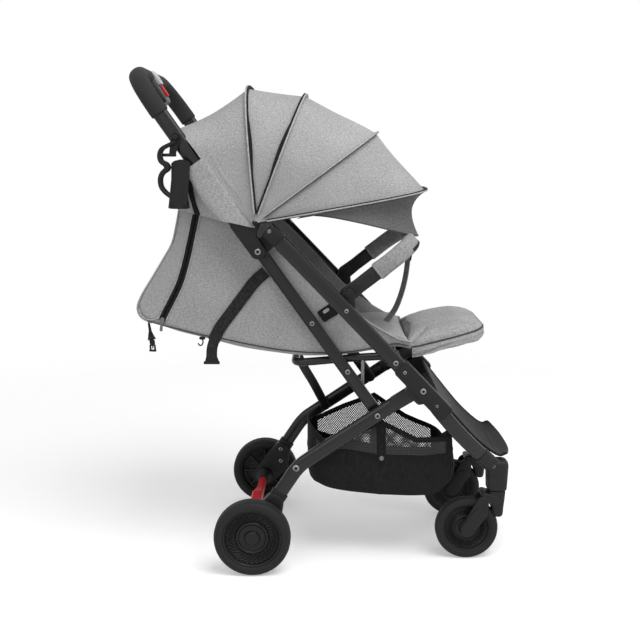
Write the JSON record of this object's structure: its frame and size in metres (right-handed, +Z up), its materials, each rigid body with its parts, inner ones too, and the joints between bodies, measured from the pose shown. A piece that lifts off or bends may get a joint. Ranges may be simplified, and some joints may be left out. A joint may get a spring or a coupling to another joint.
{
  "type": "stroller",
  "caption": "Compact folding travel stroller with swivel casters, sliding frame sleeves, fan canopy, bumper bar, fabric seat and under-seat basket.",
  "frame": {"origin": "on the floor, under the middle of the stroller: the centre of the bounding box in X and Y, at the wheels' lowest point", "axes": "+X forward, towards the small swivel wheels; +Y to the left of a person who pushes; +Z up"},
  "size_m": [0.7643, 0.464, 1.0034],
  "materials": {
    "frame_black": "black powder coat, satin",
    "black_plastic": "fine grain, matte",
    "grey_plastic": "fine grain, satin",
    "melange_fabric": "light grey melange weave, matte",
    "black_fabric": "black webbing and mesh, matte",
    "grip_foam": "closed-cell foam, matte",
    "tyre_rubber": "foam rubber, matte",
    "button_grey": "light grey, satin",
    "signal_red": "red, glossy",
    "zinc_steel": "zinc plated"
  },
  "bodies": {
    "front_frame": {"front_tube_right": "frame_black", "front_tube_left": "frame_black", "leg_joint_right": "black_plastic", "leg_joint_left": "black_plastic", "caster_housing_right": "black_plastic", "caster_housing_left": "black_plastic", "bar_bracket_right": "black_plastic", "bar_bracket_left": "black_plastic", "footrest": "grey_plastic", "seat_crossbar": "frame_black", "seat_shell": "melange_fabric", "seat_pad": "melange_fabric", "basket": "black_fabric", "crotch_strap": "black_fabric", "side_strap": "black_fabric", "recline_strap": "black_fabric"},
    "sliders": {"slider_right": "black_plastic", "slider_left": "black_plastic"},
    "handle": {"handle_tube": "frame_black", "handle_end_right": "grey_plastic", "handle_end_left": "grey_plastic", "grip_right": "grip_foam", "grip_left": "grip_foam", "release_housing": "black_plastic", "canopy_bow_1": "black_plastic", "canopy_rear": "melange_fabric"},
    "canopy_second": {"canopy_bow_2": "black_plastic", "canopy_panel_1": "melange_fabric"},
    "canopy_third": {"canopy_bow_3": "black_plastic", "canopy_panel_2": "melange_fabric"},
    "canopy_front": {"canopy_bow_4": "black_plastic", "canopy_panel_3": "melange_fabric", "visor": "melange_fabric"},
    "rear_frame": {"rear_leg_right": "frame_black", "rear_leg_left": "frame_black", "wheel_bracket_right": "black_plastic", "wheel_bracket_left": "black_plastic", "rear_axle": "zinc_steel"},
    "links": {"link_right": "frame_black", "link_left": "frame_black"},
    "rear_wheel_right": {"rear_tyre_right": "tyre_rubber", "rear_hub_right": "black_plastic"},
    "rear_wheel_left": {"rear_tyre_left": "tyre_rubber", "rear_hub_left": "black_plastic"},
    "caster_right": {"caster_fork_right": "black_plastic"},
    "caster_left": {"caster_fork_left": "black_plastic"},
    "front_wheel_right": {"front_tyre_right": "tyre_rubber", "front_hub_right": "black_plastic"},
    "front_wheel_left": {"front_tyre_left": "tyre_rubber", "front_hub_left": "black_plastic"},
    "brake": {"brake_pedal": "signal_red"},
    "button": {"release_button": "button_grey"},
    "lock": {"lock_slider": "signal_red"},
    "cup_holder": {"cup_holder": "black_plastic"},
    "seat_frame": {"seat_frame": "frame_black"},
    "strut": {"seat_strut": "frame_black"},
    "bumper": {"bumper_bar": "black_plastic", "bumper_cover": "melange_fabric"},
    "backrest": {"backrest": "melange_fabric"},
    "leg_rest": {"leg_rest": "melange_fabric"}
  },
  "joints": [
    {"name": "rear_leg_fold", "type": "hinge", "parent": "front_frame", "child": "rear_frame", "pos_m": [0.19265, 0, 0.37668], "axis": [0, -1, 0], "range_deg": [0, 75], "deforming": ["seat_shell", "basket", "canopy_rear", "canopy_panel_1", "canopy_panel_2", "canopy_panel_3", "visor", "crotch_strap", "side_strap", "recline_strap"]},
    {"name": "slider_travel", "type": "slide", "parent": "front_frame", "child": "sliders", "axis": [0.6915, 0, -0.7224], "range_m": [0, 0.11]},
    {"name": "handle_fold", "type": "hinge", "parent": "sliders", "child": "handle", "pos_m": [-0.1277, 0, 0.6473], "axis": [0, -1, 0], "range_deg": [0, 156]},
    {"name": "link_fold", "type": "hinge", "parent": "rear_frame", "child": "links", "pos_m": [0.1056, 0, 0.3198], "axis": [0, 1, 0], "range_deg": [0, 67.5]},
    {"name": "seat_rail_fold", "type": "hinge", "parent": "front_frame", "child": "seat_frame", "pos_m": [0.13906, 0, 0.43267], "axis": [0, -1, 0], "range_deg": [0, 76]},
    {"name": "strut_fold", "type": "hinge", "parent": "rear_frame", "child": "strut", "pos_m": [0.00133, 0, 0.25014], "axis": [0, 1, 0], "range_deg": [0, 33]},
    {"name": "canopy_fold", "type": "hinge", "parent": "handle", "child": "canopy_front", "pos_m": [-0.1313, 0, 0.703], "axis": [0, -1, 0], "range_deg": [0, 50.5]},
    {"name": "canopy_third_fold", "type": "hinge", "parent": "handle", "child": "canopy_third", "pos_m": [-0.1313, 0, 0.703], "axis": [0, -1, 0], "range_deg": [0, 37.2]},
    {"name": "canopy_second_fold", "type": "hinge", "parent": "handle", "child": "canopy_second", "pos_m": [-0.1313, 0, 0.703], "axis": [0, -1, 0], "range_deg": [0, 15.2]},
    {"name": "bumper_swing", "type": "hinge", "parent": "front_frame", "child": "bumper", "pos_m": [0.0462, 0, 0.5625], "axis": [0, 1, 0], "range_deg": [0, 50], "deforming": ["crotch_strap"]},
    {"name": "backrest_recline", "type": "hinge", "parent": "front_frame", "child": "backrest", "pos_m": [-0.1058, 0, 0.462], "axis": [0, 1, 0], "range_deg": [0, 50], "deforming": ["seat_shell", "side_strap"]},
    {"name": "leg_rest_tilt", "type": "hinge", "parent": "front_frame", "child": "leg_rest", "pos_m": [0.1582, 0, 0.458], "axis": [0, 1, 0], "range_deg": [0, 48], "deforming": ["seat_shell"]},
    {"name": "cup_holder_swing", "type": "hinge", "parent": "handle", "child": "cup_holder", "pos_m": [-0.27846, 0, 0.86341], "axis": [0, -1, 0], "range_deg": [-25, 0]},
    {"name": "release_press", "type": "slide", "parent": "handle", "child": "button", "axis": [-0.8201, 0, -0.5721], "range_m": [0, 0.002], "stiffness_N_per_m": 600, "springref_m": -0.001},
    {"name": "lock_slide", "type": "slide", "parent": "handle", "child": "lock", "axis": [0, 1, 0], "range_m": [0, 0.008]},
    {"name": "brake_press", "type": "hinge", "parent": "rear_frame", "child": "brake", "pos_m": [-0.1438, 0, 0.077], "axis": [0, -1, 0], "range_deg": [0, 20]},
    {"name": "rear_wheel_spin_right", "type": "hinge", "parent": "rear_frame", "child": "rear_wheel_right", "pos_m": [-0.1438, -0.214, 0.077], "axis": [0, 1, 0], "continuous": true},
    {"name": "caster_swivel_right", "type": "hinge", "parent": "front_frame", "child": "caster_right", "pos_m": [0.3537, -0.1255, 0.1468], "axis": [0, 0, 1], "continuous": true},
    {"name": "front_wheel_spin_right", "type": "hinge", "parent": "caster_right", "child": "front_wheel_right", "pos_m": [0.2959, -0.1255, 0.065], "axis": [0, 1, 0], "continuous": true},
    {"name": "rear_wheel_spin_left", "type": "hinge", "parent": "rear_frame", "child": "rear_wheel_left", "pos_m": [-0.1438, 0.214, 0.077], "axis": [0, 1, 0], "continuous": true},
    {"name": "caster_swivel_left", "type": "hinge", "parent": "front_frame", "child": "caster_left", "pos_m": [0.3537, 0.1255, 0.1468], "axis": [0, 0, 1], "continuous": true},
    {"name": "front_wheel_spin_left", "type": "hinge", "parent": "caster_left", "child": "front_wheel_left", "pos_m": [0.2959, 0.1255, 0.065], "axis": [0, 1, 0], "continuous": true}
  ],
  "couplings": [
    {"joint": "slider_travel", "follows": "rear_leg_fold", "m_per_rad": 0.08304},
    {"joint": "handle_fold", "follows": "rear_leg_fold", "ratio": 2.0667},
    {"joint": "link_fold", "follows": "rear_leg_fold", "ratio": 0.8908},
    {"joint": "seat_rail_fold", "follows": "rear_leg_fold", "ratio": 1.0016},
    {"joint": "strut_fold", "follows": "rear_leg_fold", "ratio": 0.4263},
    {"joint": "canopy_third_fold", "follows": "canopy_fold", "ratio": 0.7327},
    {"joint": "canopy_second_fold", "follows": "canopy_fold", "ratio": 0.297}
  ]
}
